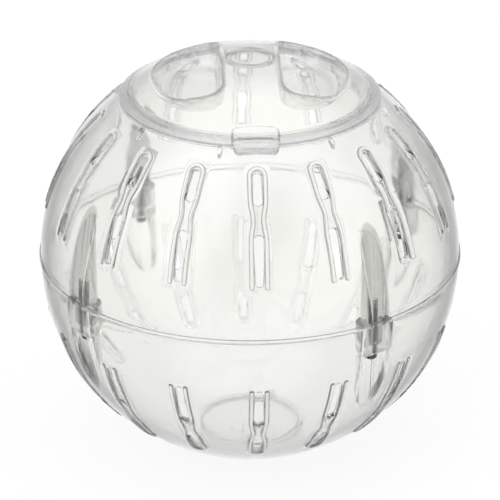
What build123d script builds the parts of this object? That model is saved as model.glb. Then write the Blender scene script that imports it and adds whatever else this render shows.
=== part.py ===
from build123d import *
import os
from math import cos, radians, sin, sqrt

# Ball
ball_radius = 90.0
wall = 1.8
inner_radius = ball_radius - wall
mid_radius = ball_radius - wall / 2
overrun = 60.0
lift_gap = 0.3
mate_gap = 0.2

# Seam between the halves
bead_proud = 0.6
bead_height = 2.2

# Vent slots and the raised frames round them
slot_count = 16
slot_width = 4.6
slot_latitude = 30.5
high_slot_latitudes = (36.4, 46.0)
low_slot_latitudes = (15.0, 29.0)
rail_width = 1.9
rail_proud = 0.8
rail_overlap = 0.25
rail_offset = slot_width / 2 + rail_width / 2 - rail_overlap / 2
waist_offset = 2.05
tip_latitude = 15.4
waist_reach = 8.5

# Screw columns
column_azimuths = (33.75, 123.75, 213.75, 303.75)
screw_axis_radius = 84.3
post_radius = 4.9
pin_radius = 3.3
pin_length = 9.0
socket_radius = 7.9
socket_axis_radius = 86.0
socket_wall = 1.5
ledge_depth = 13.4

# Screws
thread_diameter = 2.6
screw_length = 21.4
point_length = 2.6
point_diameter = 0.8
head_diameter = 5.0
head_height = 3.8
head_round = 0.9
recess_width = 0.8
recess_length = 2.8
recess_depth = 1.1
pilot_gap = 0.05
hole_gap = 0.25

# Mouth in the upper half
mouth_radius = 51.0
seat_height = 71.8
seat_inner_radius = 53.0
nib_azimuths = (33.0, 75.0, 126.0, 165.0, 213.0, 255.0, 306.0, 345.0)
nib_width = 1.7
nib_length = 2.7
nib_proud = 1.6

# Base of the lower half
foot_radius = 26.0
punt_radius = 21.4
punt_height = 4.0
mark_radius = 3.3
mark_proud = 0.4
mark_place = (-5.4, -11.1)

# Lid
lid_edge_radius = 55.2
lid_edge_height = 73.0
lid_top = 90.0
lid_wall = 1.7
skirt_thickness = 1.5
skirt_bottom = 70.0
dish_radius = 9.7
dish_depth = 1.0

# Finger wells
well_floor = 75.0
well_inner_x = (13.5, 12.4)
well_reach = (36.0, 48.3)
well_half_length = (22.5, 33.9)
well_inner_round = (7.0, 10.0)
well_outer_round = (8.0, 14.0)
well_floor_round = 3.0
lip_proud = 0.6
lip_width = 1.0

# Snap tabs
tab_width = 18.6
tab_inner = 48.0
tab_reach = 57.5
tab_proud = 0.9
tab_round = 2.4
groove_from_axis = 53.6
groove_width = 0.7

# Sizes that follow from those above
foot_height = sqrt(ball_radius**2 - foot_radius**2)
lid_rise = lid_top - lid_edge_height
dome_radius = (lid_edge_radius**2 + lid_rise**2) / (2 * lid_rise)
dome_centre = lid_top - dome_radius
skirt_outer_radius = mouth_radius - lift_gap
skirt_inner_radius = skirt_outer_radius - skirt_thickness
seat_outer_radius = lid_edge_radius
nib_start = lid_edge_radius + lift_gap
pin_tip = -pin_length
under_head = -ledge_depth
screw_tip = under_head + screw_length

closing_azimuth = 180.0 / slot_count

bottom_up = (Align.CENTER, Align.CENTER, Align.MIN)
top_down = (Align.CENTER, Align.CENTER, Align.MAX)


def ball(radius):
    """A sphere on the ball's centre, with its closing edge turned between two slots."""
    return Rot(0, 0, closing_azimuth) * Sphere(radius)


def rod(radius, low, high):
    """An upright cylinder on the ball's axis between two heights."""
    return Pos(0, 0, low) * Cylinder(radius, high - low, align=bottom_up)


def tube(outer, inner, low, high):
    return rod(outer, low, high) - rod(inner, low, high)


def ring_of(piece, azimuths):
    """The piece, made at the front of the ball, turned to each azimuth."""
    return [Rot(0, 0, azimuth) * piece for azimuth in azimuths]


# Slots and frames, drawn on a plane square to the ball at their middle latitude
def above_middle(latitude):
    return ball_radius * sin(radians(latitude - slot_latitude))


slot_plane = Plane(
    origin=(0, 0, 0),
    x_dir=(1, 0, 0),
    z_dir=(0, -cos(radians(slot_latitude)), sin(radians(slot_latitude))),
)


def slot_cutter(latitudes):
    low = above_middle(latitudes[0])
    high = above_middle(latitudes[1])
    outline = Pos(0, (low + high) / 2) * SlotOverall(high - low, slot_width, rotation=90)
    return extrude(slot_plane * outline, amount=ball_radius + overrun)


def frame_rail():
    tip = above_middle(tip_latitude)
    arch = above_middle(high_slot_latitudes[1]) - slot_width / 2
    waist = (above_middle(low_slot_latitudes[1]) + above_middle(high_slot_latitudes[0])) / 2
    low_bend = waist - waist_reach
    high_bend = waist + waist_reach
    path = Line((-rail_offset, tip), (-rail_offset, low_bend))
    path += Spline(
        (-rail_offset, low_bend),
        (-waist_offset, waist),
        (-rail_offset, high_bend),
        tangents=((0, 1), (0, 1)),
    )
    path += Line((-rail_offset, high_bend), (-rail_offset, arch))
    path += ThreePointArc((-rail_offset, arch), (0, arch + rail_offset), (rail_offset, arch))
    path += Line((rail_offset, arch), (rail_offset, high_bend))
    path += Spline(
        (rail_offset, high_bend),
        (waist_offset, waist),
        (rail_offset, low_bend),
        tangents=((0, -1), (0, -1)),
    )
    path += Line((rail_offset, low_bend), (rail_offset, tip))
    outline = trace(path, line_width=rail_width + rail_overlap)
    outline += Pos(-rail_offset, tip) * Circle((rail_width + rail_overlap) / 2)
    outline += Pos(rail_offset, tip) * Circle((rail_width + rail_overlap) / 2)
    solid = extrude(slot_plane * outline, amount=ball_radius + overrun)
    return solid & (ball(ball_radius + rail_proud) - ball(mid_radius))


slot_azimuths = [360.0 * index / slot_count for index in range(slot_count)]
upper_frames = ring_of(frame_rail(), slot_azimuths)
upper_slots = ring_of(slot_cutter(high_slot_latitudes), slot_azimuths)
upper_slots += ring_of(slot_cutter(low_slot_latitudes), slot_azimuths)
lower_frames = [mirror(frame, about=Plane.XY) for frame in upper_frames]
lower_slots = [mirror(slot, about=Plane.XY) for slot in upper_slots]

ball_skin = ball(ball_radius) - ball(inner_radius)


# Upper half: skin, seam bead, mouth with its seat and nibs, screw posts
def make_upper_shell():
    half = ball_skin & rod(ball_radius + overrun, 0, ball_radius + overrun)
    half += tube(ball_radius + bead_proud, mid_radius, 0, bead_height)
    seat = tube(seat_outer_radius, seat_inner_radius, 0, seat_height)
    half += seat - ball(mid_radius)
    half -= rod(mouth_radius, 0, ball_radius + overrun)
    nib_plan = Pos(0, -(nib_start + nib_length / 2)) * Rectangle(nib_width, nib_length)
    nib_plan += Pos(0, -(nib_start + nib_length)) * Circle(nib_width / 2)
    nib = extrude(nib_plan, amount=ball_radius)
    nib = nib & (ball(ball_radius + nib_proud) - ball(mid_radius))
    half += ring_of(nib, nib_azimuths)
    half += upper_frames
    half -= upper_slots
    at_screw = Pos(0, -screw_axis_radius, 0)
    post = at_screw * rod(post_radius, 0, overrun) & ball(mid_radius)
    post += at_screw * rod(pin_radius, pin_tip, bead_height)
    pilot = at_screw * rod(thread_diameter / 2 + pilot_gap, pin_tip, screw_tip + point_length)
    half += ring_of(post, column_azimuths)
    half -= ring_of(pilot, column_azimuths)
    return half


# Lower half: skin, screw sockets over driver channels, dished base
def make_lower_shell():
    half = ball_skin & rod(ball_radius + overrun, -ball_radius - overrun, 0)
    half += lower_frames
    at_socket = Pos(0, -socket_axis_radius, 0)
    at_screw = Pos(0, -screw_axis_radius, 0)
    socket = at_socket * rod(socket_radius, -ball_radius, 0) & ball(mid_radius)
    channel = at_socket * rod(socket_radius - socket_wall, -ball_radius, under_head)
    bore = at_screw * rod(pin_radius + mate_gap, pin_tip - mate_gap, overrun)
    hole = at_screw * rod(thread_diameter / 2 + hole_gap, under_head - overrun, 0)
    half += ring_of(socket, column_azimuths)
    half -= ring_of(channel, column_azimuths)
    half -= ring_of(bore, column_azimuths)
    half -= ring_of(hole, column_azimuths)
    half -= lower_slots
    punt_top = punt_height - foot_height
    half += rod(punt_radius + wall, -ball_radius, punt_top) & ball(mid_radius)
    half += Pos(*mark_place) * rod(mark_radius, punt_top - wall / 2, punt_top + mark_proud)
    half -= rod(punt_radius, -ball_radius, punt_top - wall)
    half -= rod(ball_radius, -ball_radius - overrun, -foot_height)
    return half


# Lid: dome, skirt, dish at the pole, finger wells with lips, snap tabs
def well_outline(level, grow):
    """One finger well's plan, at its floor (level 0) or at the lid's top (level 1)."""
    outline = Circle(well_reach[level] + grow)
    length = 2 * (well_half_length[level] + grow)
    side = well_inner_x[level] - grow
    outline = outline & Pos(side + overrun / 2, 0) * Rectangle(overrun, length)
    corners = outline.vertices().group_by(Axis.X)
    outline = fillet(corners[0], well_inner_round[level] + grow)
    corners = outline.vertices().group_by(Axis.X)
    return fillet(corners[-1], well_outer_round[level] + grow)


def well_body(grow):
    low = Pos(0, 0, well_floor - grow) * well_outline(0, grow)
    high = Pos(0, 0, lid_top + lip_proud) * well_outline(1, grow)
    body = loft([low.face(), high.face()], ruled=True)
    floor_edges = body.faces().sort_by(Axis.Z)[0].edges()
    return fillet(floor_edges, well_floor_round + grow)


def make_tab():
    """A raised pad on the dome that hooks out over the edge, crossed by a groove."""
    at_dome = Pos(0, 0, dome_centre)
    plan = Pos(0, -(tab_inner + tab_reach) / 2) * Rectangle(tab_width, tab_reach - tab_inner)
    plan = fillet(plan.vertices().group_by(Axis.Y)[0], tab_round)
    tab = extrude(plan, amount=lid_top)
    tab = tab & at_dome * ball(dome_radius + tab_proud)
    tab -= ball(ball_radius + lift_gap)
    tab -= rod(nib_start, 0, seat_height)
    groove = Pos(0, -groove_from_axis, 0) * Box(
        tab_width, groove_width, lid_top, align=bottom_up
    )
    return tab - (groove - at_dome * ball(dome_radius))


def make_lid():
    at_dome = Pos(0, 0, dome_centre)
    dome = at_dome * ball(dome_radius) & rod(lid_edge_radius, seat_height, ball_radius + overrun)
    hollow = at_dome * ball(dome_radius - lid_wall)
    over_shell = ball(ball_radius + lift_gap) - rod(skirt_inner_radius, 0, ball_radius + overrun)
    lid = dome - hollow - over_shell
    skirt = tube(skirt_outer_radius, skirt_inner_radius, skirt_bottom, lid_top)
    lid += skirt & at_dome * ball(dome_radius - lid_wall / 2)
    dish_sphere = (dish_radius**2 + dish_depth**2) / (2 * dish_depth)
    dish_rim = dome_centre + sqrt(dome_radius**2 - dish_radius**2)
    at_dish = Pos(0, 0, dish_rim - dish_depth + dish_sphere)
    bowl = at_dish * ball(dish_sphere + lid_wall) & rod(dish_radius + lid_wall, 0, dish_rim)
    lid += bowl & at_dome * ball(dome_radius - lid_wall / 2)
    lid -= at_dish * ball(dish_sphere)
    cup = well_body(lid_wall) & at_dome * ball(dome_radius - lid_wall / 2)
    cup += well_body(lip_width) & at_dome * ball(dome_radius + lip_proud)
    lid += [cup, mirror(cup, about=Plane.YZ)]
    cavity = well_body(0)
    lid -= [cavity, mirror(cavity, about=Plane.YZ)]
    lid += ring_of(make_tab(), (0, 180))
    return lid


# Screw: pan head with a cross recess, plain shank at thread size, pointed tip
def make_screw():
    head = Pos(0, 0, under_head) * Cylinder(head_diameter / 2, head_height, align=top_down)
    head = fillet(head.edges().sort_by(Axis.Z)[0], head_round)
    recess = Pos(0, 0, under_head - head_height) * Box(
        recess_length, recess_width, recess_depth, align=bottom_up
    )
    head -= [recess, Rot(0, 0, 90) * recess]
    shank = rod(thread_diameter / 2, under_head, screw_tip - point_length)
    point = Pos(0, 0, screw_tip - point_length) * Cone(
        thread_diameter / 2, point_diameter / 2, point_length, align=bottom_up
    )
    return Pos(0, -screw_axis_radius, 0) * (head + shank + point)


# Every piece is built round the ball's centre, then raised so the foot stands at height 0
raised = Pos(0, 0, foot_height)
pieces = {
    "upper_shell": make_upper_shell(),
    "lower_shell": make_lower_shell(),
    "lid": make_lid(),
}
screws = ring_of(make_screw(), column_azimuths)
for number, screw in enumerate(screws, start=1):
    pieces[f"screw_{number}"] = screw

os.makedirs("parts", exist_ok=True)
for name, piece in pieces.items():
    export_step(raised * piece, os.path.join("parts", name + ".step"))
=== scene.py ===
from math import acos, asin, atan2, cos, pi, radians, sin, sqrt

import bpy
from mathutils import Matrix, Vector


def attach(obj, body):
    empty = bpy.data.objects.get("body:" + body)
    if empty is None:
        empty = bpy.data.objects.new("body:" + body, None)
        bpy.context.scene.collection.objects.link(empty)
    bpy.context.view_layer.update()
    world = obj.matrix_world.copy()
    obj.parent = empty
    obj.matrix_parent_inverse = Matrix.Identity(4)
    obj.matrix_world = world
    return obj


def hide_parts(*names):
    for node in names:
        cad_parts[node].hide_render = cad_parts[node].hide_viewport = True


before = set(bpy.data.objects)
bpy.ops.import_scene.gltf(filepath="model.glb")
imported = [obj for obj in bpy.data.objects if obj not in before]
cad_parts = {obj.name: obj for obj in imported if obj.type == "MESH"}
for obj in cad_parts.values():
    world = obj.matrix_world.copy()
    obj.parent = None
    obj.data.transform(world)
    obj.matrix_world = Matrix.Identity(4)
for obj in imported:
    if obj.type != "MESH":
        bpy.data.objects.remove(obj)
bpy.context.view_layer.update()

# Ball, measured in metres from its centre
MM = 0.001
BALL = 90.0 * MM
WALL = 1.8 * MM
INNER = BALL - WALL
MIDDLE = BALL - WALL / 2
SLOT_COUNT = 16
SEAM_GAP = 0.05 * MM
BEAD_PROUD = 0.6 * MM
BEAD_HEIGHT = 1.9 * MM
EDGE_ROUND = 0.35 * MM
MERGE = 0.002 * MM
MOULD_MERGE = 0.08 * MM
MOULD_ROUND = 0.22 * MM
OVERRUN = 6.0 * MM

# Steps in round forms, and the angles in degrees at which edges are rounded or shaded smooth
RING_STEPS = 144
BALL_RINGS = 72
ARC_STEPS = 26
SEAT_STEPS = 3
DISH_STEPS = 5
WELL_STEPS = 9
EDGE_STEPS = 6
ROD_SIDES = 48
HOLE_SIDES = 24
SLOT_POINTS = 40
SHARP_ABOVE = 40.0
CREASE_ABOVE = 35.0
SMOOTH_BELOW = 35.0

# Vent slots and the rails round them, whose tips are pairs of (share of the radius, thickness)
SLOT_LATITUDE = 30.5
HIGH_SLOT = (36.4, 46.0)
LOW_SLOT = (15.0, 29.0)
SLOT_WIDTH = 4.6 * MM
SLOT_FLARE = 0.2
SLOT_BACK = 3.0 * MM
RAIL_OFFSET = 3.125 * MM
RAIL_RADIUS = 1.05 * MM
RAIL_DEPTH = 0.25 * MM
WAIST_OFFSET = 2.05 * MM
WAIST_REACH = 8.5 * MM
TIP_LATITUDE = 15.4
RAIL_TIP = ((1.0, 0.08), (0.85, 0.55), (0.5, 0.88), (0.0, 1.0))
RAIL_STEPS = 22
ARCH_STEPS = 12
RAIL_ORDER = 3
RAIL_SMOOTHNESS = 2
RAIL_ROUNDNESS = 5

# Screw columns
COLUMN_AZIMUTHS = (33.75, 123.75, 213.75, 303.75)
SCREW_AXIS = 84.3 * MM
POST_RADIUS = 4.9 * MM
POST_TOP = 50.0 * MM
PIN_RADIUS = 3.3 * MM
PIN_LENGTH = 9.0 * MM
PILOT_RADIUS = 1.35 * MM
PILOT_TOP = 10.6 * MM
SOCKET_AXIS = 86.0 * MM
SOCKET_RADIUS = 7.9 * MM
SOCKET_FOOT = 60.0 * MM
CHANNEL_RADIUS = 6.4 * MM
LEDGE = 13.4 * MM
BORE_RADIUS = 3.5 * MM
BORE_DEPTH = 9.2 * MM
HOLE_RADIUS = 1.55 * MM

# Screws, the head's outline as pairs of (share of the radius, share of the height)
HEAD_RADIUS = 2.5 * MM
HEAD_HEIGHT = 3.8 * MM
HEAD_PROFILE = (
    (0.0, 0.0), (1.0, 0.0), (1.0, 0.7), (0.95, 0.84), (0.82, 0.93), (0.55, 0.98), (0.0, 1.0),
)
HEAD_ROUND = 0.15 * MM
ROOT_SHARE = 0.25
SCREW_TIP = 8.0 * MM
POINT_LENGTH = 2.6 * MM
POINT_BLUNTNESS = 0.12
CORE_RADIUS = 0.98 * MM
THREAD_RADIUS = 1.3 * MM
THREAD_PITCH = 1.1 * MM
THREAD_MIDDLE = 0.5
THREAD_SPREAD = 0.3
THREAD_SIDES = 24
THREAD_RINGS_PER_TURN = 8
RECESS_HALF = 1.4 * MM
RECESS_WIDTH = 0.75 * MM
RECESS_DEPTH = 1.1 * MM
RECESS_TAPER = 0.62

# Mouth
MOUTH = 51.0 * MM
SEAT_RADIUS = 55.2 * MM
SEAT_HEIGHT = 71.8 * MM
NIB_AZIMUTHS = (33.0, 75.0, 126.0, 165.0, 213.0, 255.0, 306.0, 345.0)
NIB_WIDTH = 1.7 * MM
NIB_ENDS = (55.5 * MM, 59.0 * MM)
NIB_PROUD = 1.6 * MM

# Base
FOOT = 26.0 * MM
FOOT_HEIGHT = sqrt(BALL**2 - FOOT**2)
PUNT = 21.4 * MM
PUNT_HEIGHT = 4.0 * MM
MARK_RADIUS = 3.3 * MM
MARK_PROUD = 0.4 * MM
MARK_PLACE = Vector((-5.4 * MM, -11.1 * MM, 0.0))
CENTRE = Vector((0.0, 0.0, FOOT_HEIGHT))

# Lid
LID_EDGE = 55.2 * MM
LID_EDGE_HEIGHT = 73.0 * MM
LID_TOP = 90.0 * MM
LID_WALL = 1.7 * MM
LIFT_GAP = 0.3 * MM
SKIRT_OUTER = MOUTH - LIFT_GAP
SKIRT_WALL = 1.5 * MM
SKIRT_INNER = SKIRT_OUTER - SKIRT_WALL
SKIRT_BOTTOM = 70.0 * MM
DISH = 9.7 * MM
DISH_DEPTH = 1.0 * MM
# Radii of the painted shade rings round the dish
DISH_LINES = (8.3 * MM, 9.9 * MM)
DISH_UNDERSIDE = 9.9 * MM
LID_RISE = LID_TOP - LID_EDGE_HEIGHT
DOME = (LID_EDGE**2 + LID_RISE**2) / (2 * LID_RISE)
DOME_CENTRE = LID_TOP - DOME
OVER_SHELL = BALL + LIFT_GAP

# Finger wells, at their floor and at the lid's top
WELL_FLOOR = 75.0 * MM
WELL_INNER_X = (13.5 * MM, 12.4 * MM)
WELL_REACH = (36.0 * MM, 48.3 * MM)
WELL_HALF_LENGTH = (22.5 * MM, 33.9 * MM)
WELL_INNER_ROUND = (7.0 * MM, 10.0 * MM)
WELL_OUTER_ROUND = (8.0 * MM, 14.0 * MM)
WELL_FLOOR_ROUND = 3.0 * MM
LIP_PROUD = 0.6 * MM
LIP_WIDTH = 1.0 * MM

# Snap tabs
TAB_WIDTH = 18.6 * MM
TAB_INNER = 48.0 * MM
TAB_REACH = 57.5 * MM
TAB_PROUD = 0.9 * MM
TAB_ROUND = 2.4 * MM
GROOVE_FROM_AXIS = 53.6 * MM
GROOVE_WIDTH = 0.7 * MM


# Modelling steps
def nothing_selected():
    bpy.ops.object.select_all(action="DESELECT")


def only(piece):
    nothing_selected()
    piece.select_set(True)
    bpy.context.view_layer.objects.active = piece


def clean(piece):
    only(piece)
    bpy.ops.object.mode_set(mode="EDIT")
    bpy.ops.mesh.select_all(action="SELECT")
    bpy.ops.mesh.remove_doubles(threshold=MERGE)
    bpy.ops.mesh.normals_make_consistent(inside=False)
    bpy.ops.object.mode_set(mode="OBJECT")


def soften(piece, width, steps=3, sharper_than=SHARP_ABOVE, clamp=True):
    """Rounds every edge that is sharper than the angle."""
    only(piece)
    bpy.ops.object.mode_set(mode="EDIT")
    bpy.ops.mesh.select_mode(type="EDGE")
    bpy.ops.mesh.select_all(action="DESELECT")
    bpy.ops.mesh.edges_select_sharp(sharpness=radians(sharper_than))
    bpy.ops.mesh.bevel(offset=width, segments=steps, affect="EDGES", clamp_overlap=clamp)
    bpy.ops.mesh.select_mode(type="VERT")
    bpy.ops.object.mode_set(mode="OBJECT")


def mould_edges(piece):
    """Clears specks left by the shaping and gives every crease a moulded radius."""
    only(piece)
    bpy.ops.object.mode_set(mode="EDIT")
    bpy.ops.mesh.select_all(action="SELECT")
    bpy.ops.mesh.remove_doubles(threshold=MOULD_MERGE)
    bpy.ops.mesh.dissolve_degenerate(threshold=MOULD_MERGE)
    bpy.ops.object.mode_set(mode="OBJECT")
    soften(piece, MOULD_ROUND, steps=2, sharper_than=CREASE_ABOVE, clamp=False)


def shape_with(piece, tool, operation):
    only(piece)
    change = piece.modifiers.new("shape", "BOOLEAN")
    change.operation = operation
    change.solver = "MANIFOLD"
    change.object = tool
    bpy.ops.object.modifier_apply(modifier=change.name)
    bpy.data.objects.remove(tool)


def add(piece, tool):
    shape_with(piece, tool, "UNION")


def cut(piece, tool):
    shape_with(piece, tool, "DIFFERENCE")


def keep_inside(piece, tool):
    shape_with(piece, tool, "INTERSECT")


def copy_of(piece, change):
    copy = piece.copy()
    copy.data = piece.data.copy()
    copy.data.transform(change)
    bpy.context.scene.collection.objects.link(copy)
    return copy


def joined(pieces):
    nothing_selected()
    for piece in pieces:
        piece.select_set(True)
    bpy.context.view_layer.objects.active = pieces[0]
    bpy.ops.object.join()
    return bpy.context.object


def round_the_ball(piece, azimuths):
    """The piece, made at the front, copied to each azimuth and joined."""
    copies = [copy_of(piece, Matrix.Rotation(radians(azimuth), 4, "Z")) for azimuth in azimuths]
    bpy.data.objects.remove(piece)
    return joined(copies)


def both_halves_of_lid(piece):
    """The piece and its mirror image on the lid's other side."""
    other = copy_of(piece, Matrix.Scale(-1.0, 4, (1.0, 0.0, 0.0)))
    clean(other)
    return joined([piece, other])


def arc(radius, start, end, steps, centre=0.0):
    """Points (radius, height) on an upright circle about the axis, between two latitudes."""
    turn = (end - start) / steps
    return [
        (radius * cos(start + turn * n), centre + radius * sin(start + turn * n))
        for n in range(steps + 1)
    ]


def turned(name, section):
    """A closed section of (radius, height) points, spun about the ball's axis."""
    nothing_selected()
    bpy.ops.mesh.primitive_circle_add(vertices=len(section), fill_type="NOTHING")
    piece = bpy.context.object
    piece.name = name
    for point, (radius, height) in zip(piece.data.vertices, section):
        point.co = (0.0, -radius, height)
    bpy.ops.object.mode_set(mode="EDIT")
    bpy.ops.mesh.select_all(action="SELECT")
    bpy.ops.mesh.spin(steps=RING_STEPS, angle=2 * pi, center=(0, 0, 0), axis=(0, 0, 1))
    bpy.ops.object.mode_set(mode="OBJECT")
    clean(piece)
    return piece


def rod(radius, low, high, offset=0.0, sides=ROD_SIDES):
    nothing_selected()
    bpy.ops.mesh.primitive_cylinder_add(
        vertices=sides, radius=radius, depth=high - low, location=(0.0, -offset, (low + high) / 2)
    )
    bpy.ops.object.transform_apply(location=True, rotation=True, scale=True)
    return bpy.context.object


def ball(radius, centre=0.0):
    nothing_selected()
    bpy.ops.mesh.primitive_uv_sphere_add(
        segments=RING_STEPS, ring_count=BALL_RINGS, radius=radius, location=(0.0, 0.0, centre)
    )
    bpy.ops.object.transform_apply(location=True, rotation=True, scale=True)
    return bpy.context.object


def block(low, high):
    nothing_selected()
    low, high = Vector(low), Vector(high)
    bpy.ops.mesh.primitive_cube_add(size=1.0, location=(low + high) / 2, scale=high - low)
    bpy.ops.object.transform_apply(location=True, rotation=True, scale=True)
    return bpy.context.object


def long_round(width, low, high, along, start, depth, flare=0.0):
    """A bar of slot-shaped outline: a circle pulled apart along one way, then extruded and flared."""
    nothing_selected()
    bpy.ops.mesh.primitive_circle_add(vertices=SLOT_POINTS, radius=width / 2, fill_type="NGON")
    bar = bpy.context.object
    widening = 1.0 + 2.0 * flare * depth.length / width
    wide_end = []
    for point in bar.data.vertices:
        end = high - width / 2 if point.co.y > MERGE else low + width / 2
        flared = Vector((point.co.x * widening, 0.0, 0.0)) + (point.co.y * widening + end) * along
        wide_end.append(start + depth + flared)
        point.co = start + Vector((point.co.x, 0.0, 0.0)) + (point.co.y + end) * along
    bpy.ops.object.mode_set(mode="EDIT")
    bpy.ops.mesh.select_all(action="SELECT")
    bpy.ops.mesh.extrude_region_move(TRANSFORM_OT_translate={"value": depth})
    bpy.ops.object.mode_set(mode="OBJECT")
    for point in bar.data.vertices:
        if point.index >= len(wide_end):
            point.co = wide_end[point.index - len(wide_end)]
    clean(bar)
    return bar


# Vent slots and rails
slot_up = Vector((0.0, sin(radians(SLOT_LATITUDE)), cos(radians(SLOT_LATITUDE))))
slot_out = Vector((0.0, -cos(radians(SLOT_LATITUDE)), sin(radians(SLOT_LATITUDE))))
slot_azimuths = [360.0 * n / SLOT_COUNT for n in range(SLOT_COUNT)]
upside_down = Matrix.Scale(-1.0, 4, (0.0, 0.0, 1.0))


def above_middle(latitude):
    return BALL * sin(radians(latitude - SLOT_LATITUDE))


def on_ball(across, up, radius):
    out = sqrt(radius**2 - across**2 - up**2)
    return Vector((across, 0.0, 0.0)) + up * slot_up + out * slot_out


def slot_cutter(latitudes):
    drawn_in = SLOT_FLARE * (WALL + SLOT_BACK)
    low, high = above_middle(latitudes[0]) + drawn_in, above_middle(latitudes[1]) - drawn_in
    start = (INNER - SLOT_BACK) * slot_out
    reach = slot_out * (WALL + SLOT_BACK + OVERRUN)
    return long_round(SLOT_WIDTH - 2 * drawn_in, low, high, slot_up, start, reach, SLOT_FLARE)


def rail_line():
    """Points (across, up, thickness) from one free tip of a rail over its arch to the other tip."""
    tip = above_middle(TIP_LATITUDE)
    arch = above_middle(HIGH_SLOT[1]) - SLOT_WIDTH / 2
    waist = (above_middle(LOW_SLOT[1]) + above_middle(HIGH_SLOT[0])) / 2
    side = [(RAIL_OFFSET, tip - share * RAIL_RADIUS, size) for share, size in RAIL_TIP]
    for n in range(1, RAIL_STEPS + 1):
        up = tip + (arch - tip) * n / RAIL_STEPS
        pinch = max(0.0, 1.0 - abs(up - waist) / WAIST_REACH)
        pinch = pinch * pinch * (3.0 - 2.0 * pinch)
        side.append((RAIL_OFFSET + (WAIST_OFFSET - RAIL_OFFSET) * pinch, up, 1.0))
    over = [
        (RAIL_OFFSET * cos(pi * n / ARCH_STEPS), arch + RAIL_OFFSET * sin(pi * n / ARCH_STEPS), 1.0)
        for n in range(1, ARCH_STEPS)
    ]
    return side + over + [(-across, up, size) for across, up, size in reversed(side)]


def rail():
    line = rail_line()
    nothing_selected()
    bpy.ops.curve.primitive_nurbs_path_add()
    path = bpy.context.object
    spline = path.data.splines[0]
    spline.points.add(len(line) - len(spline.points))
    for point, (across, up, size) in zip(spline.points, line):
        point.co = (*on_ball(across, up, BALL - RAIL_DEPTH), 1.0)
        point.radius = size
    spline.order_u = RAIL_ORDER
    spline.use_endpoint_u = True
    spline.resolution_u = RAIL_SMOOTHNESS
    path.data.bevel_depth = RAIL_RADIUS
    path.data.bevel_resolution = RAIL_ROUNDNESS
    path.data.use_fill_caps = True
    bpy.ops.object.convert(target="MESH")
    made = bpy.context.object
    clean(made)
    return made


def turned_over(piece):
    piece.data.transform(upside_down)
    clean(piece)
    return piece


# Upper half
def nib():
    low, high = NIB_ENDS
    outward = Vector((0.0, -1.0, 0.0))
    start = Vector((0.0, 0.0, SEAT_HEIGHT - 2 * OVERRUN))
    peg = long_round(NIB_WIDTH, low, high, outward, start, Vector((0.0, 0.0, 4 * OVERRUN)))
    keep_inside(peg, ball(BALL + NIB_PROUD))
    cut(peg, ball(MIDDLE))
    soften(peg, EDGE_ROUND)
    return peg


def upper_shell():
    section = [(INNER, 0.0), (BALL + BEAD_PROUD, 0.0), (BALL + BEAD_PROUD, BEAD_HEIGHT)]
    section += arc(BALL, asin(BEAD_HEIGHT / BALL), acos(SEAT_RADIUS / BALL), ARC_STEPS)
    section += [(SEAT_RADIUS, SEAT_HEIGHT)]
    section += arc(BALL, asin(SEAT_HEIGHT / BALL), acos(MOUTH / BALL), SEAT_STEPS)
    section += arc(INNER, acos(MOUTH / INNER), 0.0, ARC_STEPS)[:-1]
    shell = turned("upper_shell_clear", section)
    soften(shell, EDGE_ROUND)
    add(shell, round_the_ball(rail(), slot_azimuths))
    add(shell, round_the_ball(nib(), NIB_AZIMUTHS))
    post = rod(POST_RADIUS, SEAM_GAP, POST_TOP, SCREW_AXIS)
    keep_inside(post, ball(MIDDLE))
    add(post, rod(PIN_RADIUS, -PIN_LENGTH, BEAD_HEIGHT, SCREW_AXIS))
    add(shell, round_the_ball(post, COLUMN_AZIMUTHS))
    pilot = rod(PILOT_RADIUS, -PIN_LENGTH - OVERRUN, PILOT_TOP, SCREW_AXIS, HOLE_SIDES)
    cut(shell, round_the_ball(pilot, COLUMN_AZIMUTHS))
    cut(shell, round_the_ball(slot_cutter(HIGH_SLOT), slot_azimuths))
    cut(shell, round_the_ball(slot_cutter(LOW_SLOT), slot_azimuths))
    mould_edges(shell)
    return shell


# Lower half
def lower_shell():
    foot, punt_top = -FOOT_HEIGHT, -FOOT_HEIGHT + PUNT_HEIGHT
    floor_edge = PUNT + WALL
    section = [(INNER, -SEAM_GAP)]
    section += arc(BALL, -asin(SEAM_GAP / BALL), -acos(FOOT / BALL), ARC_STEPS)
    section += [(PUNT, foot), (PUNT, punt_top - WALL), (0.0, punt_top - WALL)]
    section += [(0.0, punt_top), (floor_edge, punt_top)]
    section += arc(INNER, -acos(floor_edge / INNER), -asin(SEAM_GAP / INNER), ARC_STEPS)[:-1]
    shell = turned("lower_shell_clear", section)
    soften(shell, EDGE_ROUND)
    mark = rod(MARK_RADIUS, punt_top - WALL / 2, punt_top + MARK_PROUD)
    soften(mark, EDGE_ROUND)
    mark.data.transform(Matrix.Translation(MARK_PLACE))
    add(shell, mark)
    add(shell, round_the_ball(turned_over(rail()), slot_azimuths))
    socket = rod(SOCKET_RADIUS, -SOCKET_FOOT, -SEAM_GAP, SOCKET_AXIS)
    keep_inside(socket, ball(MIDDLE))
    add(shell, round_the_ball(socket, COLUMN_AZIMUTHS))
    channel = rod(CHANNEL_RADIUS, -BALL, -LEDGE, SOCKET_AXIS)
    cut(shell, round_the_ball(channel, COLUMN_AZIMUTHS))
    bore = rod(BORE_RADIUS, -BORE_DEPTH, OVERRUN, SCREW_AXIS)
    cut(shell, round_the_ball(bore, COLUMN_AZIMUTHS))
    hole = rod(HOLE_RADIUS, -LEDGE - OVERRUN, OVERRUN, SCREW_AXIS, HOLE_SIDES)
    cut(shell, round_the_ball(hole, COLUMN_AZIMUTHS))
    cut(shell, round_the_ball(turned_over(slot_cutter(HIGH_SLOT)), slot_azimuths))
    cut(shell, round_the_ball(turned_over(slot_cutter(LOW_SLOT)), slot_azimuths))
    mould_edges(shell)
    return shell


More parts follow.
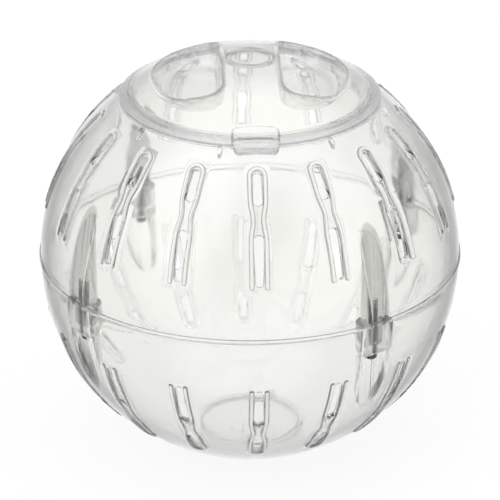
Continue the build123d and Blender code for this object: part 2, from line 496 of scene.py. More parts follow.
# Lid
def bend(centre, radius, start, end, steps):
    """Points (x, y) round part of a circle, between two turns from the x axis."""
    turn = (end - start) / steps
    return [
        (centre[0] + radius * cos(start + turn * n), centre[1] + radius * sin(start + turn * n))
        for n in range(steps + 1)
    ]


def well_outline(level, grow):
    """One finger well's plan, at its floor (level 0) or at the lid's top (level 1)."""
    side = WELL_INNER_X[level] - grow
    reach = WELL_REACH[level] + grow
    half = WELL_HALF_LENGTH[level] + grow
    inner, outer = WELL_INNER_ROUND[level] + grow, WELL_OUTER_ROUND[level] + grow
    outer_y = half - outer
    outer_x = sqrt((reach - outer) ** 2 - outer_y**2)
    meet = atan2(outer_y, outer_x)
    corner = (side + inner, half - inner)
    upper = bend((0.0, 0.0), reach, 0.0, meet, WELL_STEPS)[:-1]
    upper += bend((outer_x, outer_y), outer, meet, pi / 2, WELL_STEPS)
    upper += bend(corner, inner, pi / 2, pi, WELL_STEPS)
    upper += [(side, corner[1] / 2)]
    return upper + [(side, 0.0)] + [(x, -y) for x, y in reversed(upper[1:])]


def well_body(grow):
    """A finger well's round-floored cup: floor outline and top outline, bridged and closed."""
    heights = (WELL_FLOOR - grow, LID_TOP + LIP_PROUD)
    loops = []
    for level, height in enumerate(heights):
        outline = well_outline(level, grow)
        nothing_selected()
        bpy.ops.mesh.primitive_circle_add(vertices=len(outline), fill_type="NOTHING")
        loop = bpy.context.object
        for point, (x, y) in zip(loop.data.vertices, outline):
            point.co = (x, y, height)
        loops.append(loop)
    cup = joined(loops)
    bpy.ops.object.mode_set(mode="EDIT")
    bpy.ops.mesh.select_all(action="SELECT")
    bpy.ops.mesh.bridge_edge_loops()
    bpy.ops.mesh.select_all(action="SELECT")
    bpy.ops.mesh.fill_holes(sides=0)
    bpy.ops.object.mode_set(mode="OBJECT")
    clean(cup)
    bpy.ops.object.mode_set(mode="EDIT")
    bpy.ops.mesh.select_mode(type="EDGE")
    bpy.ops.mesh.select_all(action="DESELECT")
    bpy.ops.object.mode_set(mode="OBJECT")
    for edge in cup.data.edges:
        edge.select = all(
            abs(cup.data.vertices[n].co.z - heights[0]) < MERGE for n in edge.vertices
        )
    bpy.ops.object.mode_set(mode="EDIT")
    bpy.ops.mesh.bevel(offset=WELL_FLOOR_ROUND + grow, segments=EDGE_STEPS, affect="EDGES")
    bpy.ops.mesh.select_mode(type="VERT")
    bpy.ops.object.mode_set(mode="OBJECT")
    clean(cup)
    return cup


def tab():
    half = TAB_WIDTH / 2
    plate = block((-half, -TAB_REACH, SEAT_HEIGHT - 2 * OVERRUN), (half, -TAB_INNER, LID_TOP))
    for edge in plate.data.edges:
        ends = [plate.data.vertices[n].co for n in edge.vertices]
        at_reach = all(abs(end.y + TAB_REACH) < MERGE for end in ends)
        edge.select = at_reach and abs(ends[0].z - ends[1].z) > MERGE
    bpy.ops.object.mode_set(mode="EDIT")
    bpy.ops.mesh.select_mode(type="EDGE")
    bpy.ops.mesh.bevel(offset=TAB_ROUND, segments=EDGE_STEPS, affect="EDGES")
    bpy.ops.mesh.select_mode(type="VERT")
    bpy.ops.object.mode_set(mode="OBJECT")
    keep_inside(plate, ball(DOME + TAB_PROUD, DOME_CENTRE))
    cut(plate, ball(OVER_SHELL))
    near_side = -GROOVE_FROM_AXIS + GROOVE_WIDTH / 2
    far_side = near_side - GROOVE_WIDTH
    groove = block((-TAB_WIDTH, far_side, SEAT_HEIGHT), (TAB_WIDTH, near_side, LID_TOP))
    cut(groove, ball(DOME, DOME_CENTRE))
    cut(plate, groove)
    return plate


def lid():
    rim = DOME_CENTRE + sqrt(DOME**2 - DISH**2)
    dish_ball = (DISH**2 + DISH_DEPTH**2) / (2 * DISH_DEPTH)
    dish_centre = rim - DISH_DEPTH + dish_ball
    dish_turn = asin(DISH / dish_ball)
    under_ball = dish_ball + LID_WALL
    rest = SEAT_HEIGHT + SEAM_GAP
    inner_dome = DOME - LID_WALL
    section = arc(dish_ball, -pi / 2, -pi / 2 + dish_turn, DISH_STEPS, dish_centre)[:-1]
    section += arc(DOME, acos(DISH / DOME), acos(LID_EDGE / DOME), ARC_STEPS, DOME_CENTRE)
    section += [(LID_EDGE, rest)]
    section += arc(OVER_SHELL, asin(rest / OVER_SHELL), acos(SKIRT_OUTER / OVER_SHELL), SEAT_STEPS)
    section += [(SKIRT_OUTER, SKIRT_BOTTOM), (SKIRT_INNER, SKIRT_BOTTOM)]
    under_edge, under_dish = acos(SKIRT_INNER / inner_dome), acos(DISH_UNDERSIDE / inner_dome)
    section += arc(inner_dome, under_edge, under_dish, ARC_STEPS, DOME_CENTRE)
    under_turn = asin(DISH_UNDERSIDE / under_ball)
    section += arc(under_ball, -pi / 2 + under_turn, -pi / 2, DISH_STEPS, dish_centre)[1:]
    cap = turned("lid_clear", section)
    soften(cap, EDGE_ROUND)
    cup = well_body(LID_WALL)
    keep_inside(cup, ball(DOME - LID_WALL / 2, DOME_CENTRE))
    lip = well_body(LIP_WIDTH)
    keep_inside(lip, ball(DOME + LIP_PROUD, DOME_CENTRE))
    add(cup, lip)
    add(cap, both_halves_of_lid(cup))
    cut(cap, both_halves_of_lid(well_body(0.0)))
    add(cap, round_the_ball(tab(), (0.0, 180.0)))
    mould_edges(cap)
    return cap


# Screws
def screw():
    """A pan head with a cross recess on a threaded, pointed shank, about its own axis."""
    start, end = -LEDGE - SEAM_GAP, SCREW_TIP
    root = start - ROOT_SHARE * HEAD_HEIGHT
    rings = round((end - root) / THREAD_PITCH * THREAD_RINGS_PER_TURN)
    rise = {"value": (0.0, 0.0, (end - root) / rings)}
    nothing_selected()
    bpy.ops.mesh.primitive_circle_add(vertices=THREAD_SIDES, radius=CORE_RADIUS, fill_type="NGON")
    shank = bpy.context.object
    for point in shank.data.vertices:
        point.co.z = root
    bpy.ops.object.mode_set(mode="EDIT")
    bpy.ops.mesh.select_all(action="SELECT")
    for _ in range(rings):
        bpy.ops.mesh.extrude_region_move(TRANSFORM_OT_translate=rise)
    bpy.ops.object.mode_set(mode="OBJECT")
    clean(shank)
    for point in shank.data.vertices:
        turn = atan2(point.co.y, point.co.x) / (2 * pi)
        along = (point.co.z / THREAD_PITCH - turn) % 1.0
        crest = max(0.0, 1.0 - abs(along - THREAD_MIDDLE) / THREAD_SPREAD)
        ends = min(1.0, (point.co.z - start) / THREAD_PITCH) if point.co.z > start else 0.0
        taper = min(1.0, POINT_BLUNTNESS + (end - point.co.z) / POINT_LENGTH)
        radius = (CORE_RADIUS + (THREAD_RADIUS - CORE_RADIUS) * crest * ends) * taper
        level = Vector((point.co.x, point.co.y)).normalized() * radius
        point.co = (level.x, level.y, point.co.z)
    outline = [(wide * HEAD_RADIUS, start - drop * HEAD_HEIGHT) for wide, drop in HEAD_PROFILE]
    head = turned("head", outline)
    soften(head, HEAD_ROUND)
    low = start - HEAD_HEIGHT
    half = RECESS_WIDTH / 2
    for size in ((RECESS_HALF, half), (half, RECESS_HALF)):
        bit = block((-size[0], -size[1], low - OVERRUN), (size[0], size[1], low + RECESS_DEPTH))
        for point in bit.data.vertices:
            if point.co.z > low:
                point.co.x *= RECESS_TAPER
                point.co.y *= RECESS_TAPER
        cut(head, bit)
    add(head, shank)
    return head


# Colour by place
WHITE = (1.0, 1.0, 1.0, 1.0)
ORIGIN = (0.0, 0.0, 0.0)
EVERY_WAY = (1.0, 1.0, 1.0)
LEVEL = (1.0, 1.0, 0.0)
DOME_MIDDLE = CENTRE + Vector((0.0, 0.0, DOME_CENTRE))
COLUMN_FADE = 0.5 * MM
BAND_FADE = 0.3 * MM
LINE_FADE = 0.3 * MM

# Clear plastic: light through it, polish and ripple
CLEARNESS = 0.99
PLASTIC_INDEX = 1.47
PLASTIC_COLOUR = (0.78, 0.79, 0.76, 1.0)
PLASTIC_DENSITY = 2.0
WARMTH = 0.955
HAZE_SCALE = 60.0
HAZE_DETAIL = 6.0
HAZE_RANGE = (0.35, 0.75)
PLASTIC_ROUGHNESS = (0.04, 0.1)
RIPPLE_SCALE = 70.0
RIPPLE_DETAIL = 1.5
RIPPLE_STRENGTH = 1.0
RIPPLE_HEIGHT = 0.1 * MM
# Painted shade: the blend for the turn from the eye, and how far painted lines pale where light leaves
# the wall
TURN_BLEND = 0.5
LEAVING_PALER = 0.72

# Shells: painted shade, as pairs of (turn from the eye, shade) and (lean of the surface, shade), and
# where it is paler
BALL_TURN_SHADES = (
    (0.0, 0.9), (0.326, 0.87), (0.463, 0.83), (0.574, 0.73), (0.68, 0.57),
    (0.726, 0.32), (0.784, 0.14), (0.83, 0.12), (0.9, 0.2), (1.0, 0.5),
)
UPPER_EDGE_SHADES = (
    (0.0, 1.0), (0.04, 0.97), (0.13, 0.72), (0.28, 0.36), (0.5, 0.24),
    (0.7, 0.3), (0.8, 0.7), (0.87, 0.95), (1.0, 1.0),
)
LOWER_EDGE_SHADES = (
    (0.0, 1.0), (0.04, 0.95), (0.13, 0.55), (0.28, 0.16), (0.5, 0.08),
    (0.7, 0.12), (0.8, 0.6), (0.87, 0.92), (1.0, 1.0),
)
# Painted shade that greys the screw columns, which are also frosted
POST_SHADE = (0.5, 0.5, 0.49, 1.0)
POST_FROSTING = 0.03
SOCKET_SHADE = (0.68, 0.68, 0.67, 1.0)
SOCKET_FROSTING = 0.12
BASE_LEVELS = (45.0 * MM, 0.0)
BASE_PALER = 0.65
TOP_LEVELS = (CENTRE.z + 43.0 * MM, CENTRE.z + 63.0 * MM)
TOP_PALER = 0.5
STEEP_LEAN = (0.74, 0.86)
MOUTH_LEVELS = (CENTRE.z + 67.0 * MM, CENTRE.z + 69.0 * MM)
MOUTH_PALER = 0.8
BEHIND_WALL = (INNER - 0.3 * MM, INNER - 1.0 * MM)
# Painted shade on the strips between the rails
BRIDGE_LEVELS = (23.3 * MM, 64.7 * MM)
BRIDGE_SHADE = (0.94, 0.94, 0.94, 1.0)

# Lid: the same kinds of pairs of painted shade, and where its painted shade lines are drawn or paler
LID_TURN_SHADES = ((0.0, 0.97), (0.45, 0.95), (0.6, 0.91), (0.72, 0.82), (0.85, 0.73), (1.0, 0.64))
LID_EDGE_SHADES = (
    (0.0, 1.0), (0.03, 0.97), (0.08, 0.55), (0.16, 0.22), (0.28, 0.3),
    (0.45, 0.75), (0.6, 0.85), (0.8, 0.92), (1.0, 0.95),
)
# A faint cool painted shade over the seat, which is also frosted
SEAT_SHADE = (0.97, 0.965, 1.0, 1.0)
SEAT_FROSTING = 0.2
IN_WELLS = (DOME - LID_WALL - 0.5 * MM, DOME - LID_WALL - 1.5 * MM)
WELL_PALER = 0.58
AT_RIM = (LID_EDGE - 2.0 * MM, LID_EDGE - 1.0 * MM)
RIM_PALER = 0.6
# Painted shade lines at the tabs, the rims of the dish and the lips of the wells
LINE_SHADE = (0.25, 0.25, 0.25, 1.0)
TAB_LINES = 0.5
DISH_RINGS = 0.5
LIP_LINES = 0.6
LIP_LEVELS = (DOME + 0.1 * MM, DOME + 0.3 * MM)

# Steel: pairs of (grain, shade), polish and turning marks
STEEL_SHADES = ((0.3, 0.035), (0.5, 0.075), (0.72, 0.14))
STEEL_COOLNESS = 1.04
STEEL_GRAIN = 900.0
STEEL_DETAIL = 5.0
STEEL_RANGE = (0.3, 0.7)
STEEL_ROUGHNESS = (0.26, 0.46)
# Painted reflection that makes the shank paler than the head
SHANK_LEVELS = (CENTRE.z - LEDGE - 0.4 * MM, CENTRE.z - LEDGE + 0.4 * MM)
SHANK_PAINTED_REFLECTION = 0.5
TURNING_SCALE = 1800.0
TURNING_WAVER = 0.6
TURNING_STRENGTH = 0.3
TURNING_HEIGHT = 0.02 * MM


# Steps that build materials
def new_material(name):
    material = bpy.data.materials.new(name)
    material.use_nodes = True
    tree = material.node_tree
    tree.nodes.clear()
    output = tree.nodes.new("ShaderNodeOutputMaterial")
    surface = tree.nodes.new("ShaderNodeBsdfPrincipled")
    tree.links.new(surface.outputs["BSDF"], output.inputs["Surface"])
    return material, tree, surface, output


def ramp_of(tree, value, shades, warmth=1.0):
    """A grey that follows a value, from pairs of (position, shade)."""
    ramp = tree.nodes.new("ShaderNodeValToRGB")
    while len(ramp.color_ramp.elements) < len(shades):
        ramp.color_ramp.elements.new(0.5)
    for stop, (position, shade) in zip(ramp.color_ramp.elements, shades):
        stop.position = position
        stop.color = (shade, shade, shade * warmth, 1.0)
    tree.links.new(value, ramp.inputs["Fac"])
    return ramp.outputs["Color"]


def number(tree, operation, first, second=0.0):
    """One sum of two numbers, either of them fixed or from another node."""
    result = tree.nodes.new("ShaderNodeMath")
    result.operation = operation
    for given, socket in zip((first, second), result.inputs):
        if isinstance(given, float):
            socket.default_value = given
        else:
            tree.links.new(given, socket)
    return result.outputs["Value"]


def parts_of(tree, vector):
    parts = tree.nodes.new("ShaderNodeSeparateXYZ")
    tree.links.new(vector, parts.inputs["Vector"])
    return parts.outputs["X"], parts.outputs["Y"], parts.outputs["Z"]


def folded(tree, vector):
    """The vector with every part made positive, so that one quarter stands for all four."""
    positive = tree.nodes.new("ShaderNodeVectorMath")
    positive.operation = "ABSOLUTE"
    tree.links.new(vector, positive.inputs[0])
    return positive.outputs["Vector"]


def distance_from(tree, vector, point, spread):
    """Distance of each place from a point, counted along the axes that spread keeps."""
    apart = tree.nodes.new("ShaderNodeVectorMath")
    apart.operation = "SUBTRACT"
    apart.inputs[1].default_value = point
    tree.links.new(vector, apart.inputs[0])
    kept = tree.nodes.new("ShaderNodeVectorMath")
    kept.operation = "MULTIPLY"
    kept.inputs[1].default_value = spread
    tree.links.new(apart.outputs["Vector"], kept.inputs[0])
    length = tree.nodes.new("ShaderNodeVectorMath")
    length.operation = "LENGTH"
    tree.links.new(kept.outputs["Vector"], length.inputs[0])
    return length.outputs["Value"]


def fade(tree, value, start, end):
    """0 up to start, 1 from end on."""
    step = tree.nodes.new("ShaderNodeMapRange")
    step.interpolation_type = "SMOOTHSTEP"
    step.inputs["From Min"].default_value = start
    step.inputs["From Max"].default_value = end
    tree.links.new(value, step.inputs["Value"])
    return step.outputs["Result"]


def near(tree, value, middle, reach):
    """1 within reach of a middle value, fading to 0 outside."""
    apart = number(tree, "ABSOLUTE", number(tree, "SUBTRACT", value, middle))
    return fade(tree, apart, reach + LINE_FADE, reach)


def shaded(tree, colour, shade, share):
    """The colour times a shade, as far as the share says."""
    both = tree.nodes.new("ShaderNodeMixRGB")
    both.blend_type = "MULTIPLY"
    tree.links.new(share, both.inputs["Fac"])
    tree.links.new(colour, both.inputs["Color1"])
    both.inputs["Color2"].default_value = shade
    return both.outputs["Color"]


def towards_white(tree, colour, share):
    paler = tree.nodes.new("ShaderNodeMixRGB")
    tree.links.new(share, paler.inputs["Fac"])
    tree.links.new(colour, paler.inputs["Color1"])
    paler.inputs["Color2"].default_value = WHITE
    return paler.outputs["Color"]


def darker_of(tree, first, second):
    darker = tree.nodes.new("ShaderNodeMixRGB")
    darker.blend_type = "DARKEN"
    darker.inputs["Fac"].default_value = 1.0
    tree.links.new(first, darker.inputs["Color1"])
    tree.links.new(second, darker.inputs["Color2"])
    return darker.outputs["Color"]


def grain_of(tree, place, scale, detail):
    grain = tree.nodes.new("ShaderNodeTexNoise")
    grain.inputs["Scale"].default_value = scale
    grain.inputs["Detail"].default_value = detail
    tree.links.new(place, grain.inputs["Vector"])
    return grain.outputs["Fac"]


def polish_of(tree, grain, grain_range, roughness):
    """Roughness between two values, as the grain runs through its range."""
    polish = tree.nodes.new("ShaderNodeMapRange")
    polish.inputs["From Min"].default_value = grain_range[0]
    polish.inputs["From Max"].default_value = grain_range[1]
    polish.inputs["To Min"].default_value = roughness[0]
    polish.inputs["To Max"].default_value = roughness[1]
    tree.links.new(grain, polish.inputs["Value"])
    return polish.outputs["Result"]


def relief_of(tree, surface, height, strength, distance):
    relief = tree.nodes.new("ShaderNodeBump")
    relief.inputs["Strength"].default_value = strength
    relief.inputs["Distance"].default_value = distance
    tree.links.new(height, relief.inputs["Height"])
    tree.links.new(relief.outputs["Normal"], surface.inputs["Normal"])


# Places on the mouldings
def columns_above(tree, place, axis, radius, level):
    """The solid columns round the screws, out to the wall of the ball and down to a level."""
    quarter = tree.nodes.new("ShaderNodeMapping")
    quarter.inputs["Rotation"].default_value = (0.0, 0.0, radians(90.0 - COLUMN_AZIMUTHS[0]))
    tree.links.new(place, quarter.inputs["Vector"])
    across, out, _ = parts_of(tree, folded(tree, quarter.outputs["Vector"]))
    sideways = number(tree, "MINIMUM", across, out)
    outward = number(tree, "MAXIMUM", across, out)
    inward = number(tree, "MINIMUM", number(tree, "SUBTRACT", outward, axis), 0.0)
    away = tree.nodes.new("ShaderNodeCombineXYZ")
    tree.links.new(sideways, away.inputs["X"])
    tree.links.new(inward, away.inputs["Y"])
    distance = distance_from(tree, away.outputs["Vector"], ORIGIN, LEVEL)
    column = fade(tree, distance, radius + COLUMN_FADE, radius - COLUMN_FADE)
    height = parts_of(tree, place)[2]
    above = fade(tree, height, level - COLUMN_FADE, level + COLUMN_FADE)
    return number(tree, "MULTIPLY", column, above)


def posts(tree, place):
    """The columns of the upper half, but for their pins below the seam."""
    return columns_above(tree, place, SCREW_AXIS, POST_RADIUS, CENTRE.z)


def sockets(tree, place):
    """The columns of the lower half, down to the ledge that the screw heads sit on."""
    return columns_above(tree, place, SOCKET_AXIS, SOCKET_RADIUS, CENTRE.z - LEDGE)


def slot_bridges(tree, place):
    """The strips between the rails, where the slots leave a bridge and painted shade greys them."""
    across, out, height = parts_of(tree, place)
    step = 2 * pi / SLOT_COUNT
    turns = number(tree, "DIVIDE", number(tree, "ARCTAN2", out, across), step)
    angle = number(tree, "MULTIPLY", number(tree, "PINGPONG", turns, 0.5), step)
    aside = number(tree, "MULTIPLY", angle, distance_from(tree, place, ORIGIN, LEVEL))
    half = SLOT_WIDTH / 2
    strip = fade(tree, aside, half + LINE_FADE, half - LINE_FADE)
    level = number(tree, "ABSOLUTE", number(tree, "SUBTRACT", height, CENTRE.z))
    low, high = BRIDGE_LEVELS
    return number(tree, "MULTIPLY", strip, near(tree, level, (low + high) / 2, (high - low) / 2))


def seat_band(tree, place):
    """Where the lid, its skirt and the mouth of the ball lie over one another, but for the tabs' pads."""
    away = distance_from(tree, place, ORIGIN, LEVEL)
    band = fade(tree, away, SKIRT_OUTER - BAND_FADE, SKIRT_OUTER + BAND_FADE)
    across, out, _ = parts_of(tree, folded(tree, place))
    half = TAB_WIDTH / 2
    beside = fade(tree, across, half - BAND_FADE, half + BAND_FADE)
    beyond = fade(tree, out, GROOVE_FROM_AXIS - BAND_FADE, GROOVE_FROM_AXIS + BAND_FADE)
    return number(tree, "MULTIPLY", band, number(tree, "MAXIMUM", beside, beyond))


def tab_lines(tree, across, out):
    """Painted shade lines along the groove across each tab and the sides of its pad."""
    half = TAB_WIDTH / 2
    along_groove = near(tree, out, GROOVE_FROM_AXIS, GROOVE_WIDTH / 2)
    groove = number(tree, "MULTIPLY", along_groove, fade(tree, across, half + LINE_FADE, half))
    middle = (GROOVE_FROM_AXIS + TAB_INNER) / 2
    reach = (GROOVE_FROM_AXIS - TAB_INNER) / 2
    along_pad = near(tree, out, middle, reach)
    sides = number(tree, "MULTIPLY", near(tree, across, half, GROOVE_WIDTH / 2), along_pad)
    return number(tree, "MAXIMUM", groove, sides)


def lid_lines(tree, place):
    """Painted shade lines at the tabs, the rims of the dish and the lips of the wells."""
    across, out, _ = parts_of(tree, folded(tree, place))
    tabs = number(tree, "MULTIPLY", tab_lines(tree, across, out), TAB_LINES)
    away = distance_from(tree, place, ORIGIN, LEVEL)
    inner, outer = [near(tree, away, rim, LINE_FADE) for rim in DISH_LINES]
    dish = number(tree, "MULTIPLY", number(tree, "ADD", inner, outer), DISH_RINGS)
    raised = fade(tree, distance_from(tree, place, DOME_MIDDLE, EVERY_WAY), *LIP_LEVELS)
    short_of_tabs = fade(tree, out, TAB_INNER - BAND_FADE, TAB_INNER - 2 * BAND_FADE)
    lips = number(tree, "MULTIPLY", number(tree, "MULTIPLY", raised, short_of_tabs), LIP_LINES)
    return number(tree, "MAXIMUM", tabs, number(tree, "MAXIMUM", dish, lips))


# Clear plastic
def slope_from(tree, where, centre):
    """The way outward from a centre, and how far the surface leans from square to it, 0 to 1."""
    outward = tree.nodes.new("ShaderNodeVectorMath")
    outward.operation = "SUBTRACT"
    outward.inputs[1].default_value = centre
    tree.links.new(where.outputs["Object"], outward.inputs[0])
    unit = tree.nodes.new("ShaderNodeVectorMath")
    unit.operation = "NORMALIZE"
    tree.links.new(outward.outputs["Vector"], unit.inputs[0])
    along = tree.nodes.new("ShaderNodeVectorMath")
    along.operation = "DOT_PRODUCT"
    tree.links.new(unit.outputs["Vector"], along.inputs[0])
    tree.links.new(where.outputs["Normal"], along.inputs[1])
    lean = number(tree, "SUBTRACT", 1.0, number(tree, "ABSOLUTE", along.outputs["Value"]))
    return unit.outputs["Vector"], lean


def turn_from_eye(tree, outward=None):
    """How far the glassy wall turns from the eye, which sets its painted shade, taken on the round form
    where its way out is given.
    """
    turn = tree.nodes.new("ShaderNodeLayerWeight")
    turn.inputs["Blend"].default_value = TURN_BLEND
    if outward is not None:
        turned_with = tree.nodes.new("ShaderNodeVectorTransform")
        turned_with.vector_type = "NORMAL"
        turned_with.convert_from = "OBJECT"
        turned_with.convert_to = "WORLD"
        tree.links.new(outward, turned_with.inputs["Vector"])
        tree.links.new(turned_with.outputs["Vector"], turn.inputs["Normal"])
    return turn.outputs["Facing"]


def on_entering(tree, shade, line):
    """The darker of painted shade and painted line where light enters the wall, and faint painted lines
    alone where it leaves.
    """
    side = tree.nodes.new("ShaderNodeNewGeometry")
    leaving = side.outputs["Backfacing"]
    shade = towards_white(tree, shade, leaving)
    line = towards_white(tree, line, number(tree, "MULTIPLY", leaving, LEAVING_PALER))
    return darker_of(tree, shade, line)


def moulded_finish(tree, surface, output, place, frost):
    """Clear polystyrene: slightly uneven polish, frosted where told, faint ripples and a pale depth."""
    surface.inputs["Transmission Weight"].default_value = CLEARNESS
    surface.inputs["IOR"].default_value = PLASTIC_INDEX
    haze = grain_of(tree, place, HAZE_SCALE, HAZE_DETAIL)
    polish = polish_of(tree, haze, HAZE_RANGE, PLASTIC_ROUGHNESS)
    tree.links.new(number(tree, "ADD", polish, frost), surface.inputs["Roughness"])
    ripple = grain_of(tree, place, RIPPLE_SCALE, RIPPLE_DETAIL)
    relief_of(tree, surface, ripple, RIPPLE_STRENGTH, RIPPLE_HEIGHT)
    depth = tree.nodes.new("ShaderNodeVolumeAbsorption")
    depth.inputs["Color"].default_value = PLASTIC_COLOUR
    depth.inputs["Density"].default_value = PLASTIC_DENSITY
    tree.links.new(depth.outputs["Volume"], output.inputs["Volume"])


def shell_plastic(name, edge_shades, thick_part, column_painted_shade, frosting):
    """A half ball with painted shade: greyer where the ball turns from the eye, at moulded edges and
    where it is thick.
    """
    material, tree, surface, output = new_material(name)
    where = tree.nodes.new("ShaderNodeTexCoord")
    place = where.outputs["Object"]
    outward, lean = slope_from(tree, where, CENTRE)
    height = parts_of(tree, place)[2]
    base = number(tree, "MULTIPLY", fade(tree, height, *BASE_LEVELS), BASE_PALER)
    top = number(tree, "MULTIPLY", fade(tree, height, *TOP_LEVELS), TOP_PALER)
    steep = fade(tree, lean, *STEEP_LEAN)
    paler = number(tree, "MAXIMUM", steep, number(tree, "MAXIMUM", base, top))
    shade = ramp_of(tree, turn_from_eye(tree, outward), BALL_TURN_SHADES, WARMTH)
    shade = shaded(tree, towards_white(tree, shade, paler), BRIDGE_SHADE, slot_bridges(tree, place))
    mouth = number(tree, "MULTIPLY", fade(tree, height, *MOUTH_LEVELS), MOUTH_PALER)
    behind = fade(tree, distance_from(tree, place, CENTRE, EVERY_WAY), *BEHIND_WALL)
    line = ramp_of(tree, lean, edge_shades)
    line = towards_white(tree, line, number(tree, "MAXIMUM", mouth, behind))
    thick = thick_part(tree, place)
    tint = shaded(tree, on_entering(tree, shade, line), column_painted_shade, thick)
    tree.links.new(tint, surface.inputs["Base Color"])
    moulded_finish(tree, surface, output, place, number(tree, "MULTIPLY", thick, frosting))
    return material


def lid_plastic():
    """The lid with painted shade: greyer where it turns from the eye, at its lips and lines and faintly
    over its seat, which is frosted.
    """
    material, tree, surface, output = new_material("lid_plastic")
    where = tree.nodes.new("ShaderNodeTexCoord")
    place = where.outputs["Object"]
    lean = slope_from(tree, where, DOME_MIDDLE)[1]
    shade = ramp_of(tree, turn_from_eye(tree), LID_TURN_SHADES, WARMTH)
    deep = fade(tree, distance_from(tree, place, DOME_MIDDLE, EVERY_WAY), *IN_WELLS)
    rim = fade(tree, distance_from(tree, place, ORIGIN, LEVEL), *AT_RIM)
    deep = number(tree, "MULTIPLY", deep, WELL_PALER)
    rim = number(tree, "MULTIPLY", rim, RIM_PALER)
    line = ramp_of(tree, lean, LID_EDGE_SHADES)
    line = towards_white(tree, line, number(tree, "MAXIMUM", deep, rim))
    seat = seat_band(tree, place)
    tint = shaded(tree, on_entering(tree, shade, line), SEAT_SHADE, seat)
    tint = shaded(tree, tint, LINE_SHADE, lid_lines(tree, place))
    tree.links.new(tint, surface.inputs["Base Color"])
    moulded_finish(tree, surface, output, place, number(tree, "MULTIPLY", seat, SEAT_FROSTING))
    return material


def screw_steel():
    """Plated steel, dark on the head and with a painted reflection paler on the shank, uneven in tone and
    polish.
    """
    material, tree, surface, _ = new_material("screw_steel_plated")
    where = tree.nodes.new("ShaderNodeTexCoord")
    place = where.outputs["Object"]
    plating = grain_of(tree, place, STEEL_GRAIN, STEEL_DETAIL)
    tone = ramp_of(tree, plating, STEEL_SHADES, STEEL_COOLNESS)
    shank = fade(tree, parts_of(tree, place)[2], *SHANK_LEVELS)
    tone = towards_white(tree, tone, number(tree, "MULTIPLY", shank, SHANK_PAINTED_REFLECTION))
    tree.links.new(tone, surface.inputs["Base Color"])
    surface.inputs["Metallic"].default_value = 1.0
    polish = polish_of(tree, plating, STEEL_RANGE, STEEL_ROUGHNESS)
    tree.links.new(polish, surface.inputs["Roughness"])
    marks = tree.nodes.new("ShaderNodeTexWave")
    marks.bands_direction = "Z"
    marks.inputs["Scale"].default_value = TURNING_SCALE
    marks.inputs["Distortion"].default_value = TURNING_WAVER
    tree.links.new(place, marks.inputs["Vector"])
    relief_of(tree, surface, marks.outputs["Fac"], TURNING_STRENGTH, TURNING_HEIGHT)
    return material


# Pieces in place of the CAD nodes
def put(piece, name, material, body, node):
    piece.name = name
    piece.data.name = name
    piece.data.transform(Matrix.Translation(CENTRE))
    piece.data.materials.clear()
    piece.data.materials.append(material)
    only(piece)
    bpy.ops.object.shade_smooth_by_angle(angle=radians(SMOOTH_BELOW))
    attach(piece, body)
    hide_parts(node)


upper_plastic = shell_plastic("upper_shell_plastic", UPPER_EDGE_SHADES, posts, POST_SHADE, POST_FROSTING)
lower_plastic = shell_plastic(
    "lower_shell_plastic", LOWER_EDGE_SHADES, sockets, SOCKET_SHADE, SOCKET_FROSTING
)
steel = screw_steel()
put(upper_shell(), "upper_shell_clear", upper_plastic, "ball", "upper_shell")
put(lower_shell(), "lower_shell_clear", lower_plastic, "ball", "lower_shell")
put(lid(), "lid_clear", lid_plastic(), "lid", "lid")
first_screw = screw()
for count, azimuth in enumerate(COLUMN_AZIMUTHS, start=1):
    turn = Matrix.Rotation(radians(azimuth), 4, "Z")
    copy = copy_of(first_screw, turn @ Matrix.Translation((0.0, -SCREW_AXIS, 0.0)))
    node = f"screw_{count}"
    put(copy, node + "_steel", steel, "ball", node)
bpy.data.objects.remove(first_screw)

# Studio: pairs of (height, shade) for the room, then each lamp's direction, edge, core and strength
ROOM_SHADES = ((0.05, 0.95), (0.7, 0.5))
SOFT_LAMPS = (
    ((-0.75, -0.55, 0.75), 40.0, 12.0, 1.6),
    ((0.8, -0.5, 0.6), 34.0, 10.0, 1.1),
    ((0.05, 0.1, 1.0), 45.0, 15.0, 1.3),
)
FLOOR_SIZE = 8.0
FLOOR_LEVEL = -0.5 * MM
PAPER = (0.9, 0.9, 0.9, 1.0)
PAPER_GLOW = 0.88


def with_lamp(tree, room, way, towards, edge, core, strength):
    """The room's light with one soft-edged lamp added, centred on a direction."""
    aim = tree.nodes.new("ShaderNodeVectorMath")
    aim.operation = "DOT_PRODUCT"
    aim.inputs[1].default_value = Vector(towards).normalized()
    tree.links.new(way, aim.inputs[0])
    spread = fade(tree, aim.outputs["Value"], cos(radians(edge)), cos(radians(core)))
    both = tree.nodes.new("ShaderNodeVectorMath")
    both.operation = "ADD"
    tree.links.new(room, both.inputs[0])
    tree.links.new(number(tree, "MULTIPLY", spread, strength), both.inputs[1])
    return both.outputs["Vector"]


def studio():
    """A room that is pale below and grey above, with soft lamps, and white where the camera sees it."""
    world = bpy.data.worlds.new("studio")
    bpy.context.scene.world = world
    world.use_nodes = True
    tree = world.node_tree
    tree.nodes.clear()
    output = tree.nodes.new("ShaderNodeOutputWorld")
    background = tree.nodes.new("ShaderNodeBackground")
    tree.links.new(background.outputs["Background"], output.inputs["Surface"])
    where = tree.nodes.new("ShaderNodeTexCoord")
    way = where.outputs["Generated"]
    room = ramp_of(tree, parts_of(tree, way)[2], ROOM_SHADES)
    for lamp in SOFT_LAMPS:
        room = with_lamp(tree, room, way, *lamp)
    path = tree.nodes.new("ShaderNodeLightPath")
    seen = towards_white(tree, room, path.outputs["Is Camera Ray"])
    tree.links.new(seen, background.inputs["Color"])


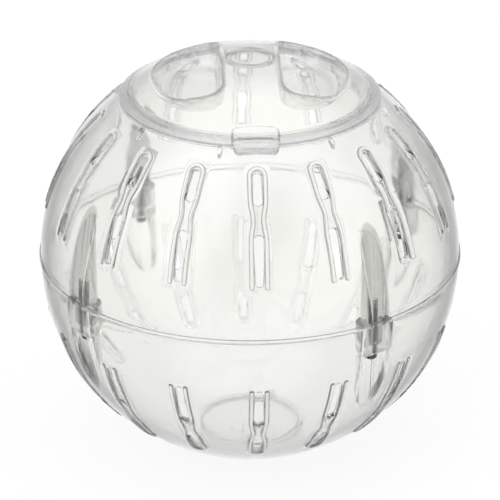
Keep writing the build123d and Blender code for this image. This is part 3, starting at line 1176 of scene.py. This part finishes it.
def floor_paper():
    """White paper that keeps a soft shadow, and shows as white to the eye and through the plastic."""
    paper = bpy.data.materials.new("floor_paper")
    paper.use_nodes = True
    tree = paper.node_tree
    tree.nodes.clear()
    output = tree.nodes.new("ShaderNodeOutputMaterial")
    lit = tree.nodes.new("ShaderNodeBsdfDiffuse")
    lit.inputs["Color"].default_value = PAPER
    glow = tree.nodes.new("ShaderNodeEmission")
    glow.inputs["Color"].default_value = WHITE
    path = tree.nodes.new("ShaderNodeLightPath")
    direct = number(tree, "MAXIMUM", path.outputs["Is Camera Ray"], path.outputs["Is Glossy Ray"])
    seen = number(tree, "MAXIMUM", direct, path.outputs["Is Transmission Ray"])
    blend = tree.nodes.new("ShaderNodeMixShader")
    tree.links.new(number(tree, "MULTIPLY", seen, PAPER_GLOW), blend.inputs["Fac"])
    tree.links.new(lit.outputs["BSDF"], blend.inputs[1])
    tree.links.new(glow.outputs["Emission"], blend.inputs[2])
    tree.links.new(blend.outputs["Shader"], output.inputs["Surface"])
    return paper


studio()
nothing_selected()
bpy.ops.mesh.primitive_plane_add(size=FLOOR_SIZE, location=(0.0, 0.0, FLOOR_LEVEL))
floor = bpy.context.object
floor.name = "floor"
floor.data.materials.append(floor_paper())

# Camera at the photograph's viewing angle
CAMERA_DISTANCE = 1.33
CAMERA_ELEVATION = radians(25.2)
CAMERA_SWING = radians(-2.6)
CAMERA_LENS = 222.1
CAMERA_SENSOR = 36.0
reach = CAMERA_DISTANCE * cos(CAMERA_ELEVATION)
viewpoint = CENTRE + Vector(
    (reach * sin(CAMERA_SWING), -reach * cos(CAMERA_SWING), CAMERA_DISTANCE * sin(CAMERA_ELEVATION))
)
eye = bpy.data.cameras.new("camera")
eye.lens = CAMERA_LENS
eye.sensor_width = CAMERA_SENSOR
camera = bpy.data.objects.new("camera", eye)
bpy.context.scene.collection.objects.link(camera)
camera.location = viewpoint
camera.rotation_euler = (CENTRE - viewpoint).to_track_quat("-Z", "Y").to_euler()
bpy.context.scene.camera = camera

# Light that is caught between clear walls needs many bounces to come out
BOUNCES = 400
bpy.context.scene.view_settings.view_transform = "Standard"
cycles = bpy.context.scene.cycles
cycles.max_bounces = BOUNCES
cycles.transmission_bounces = BOUNCES
cycles.glossy_bounces = BOUNCES
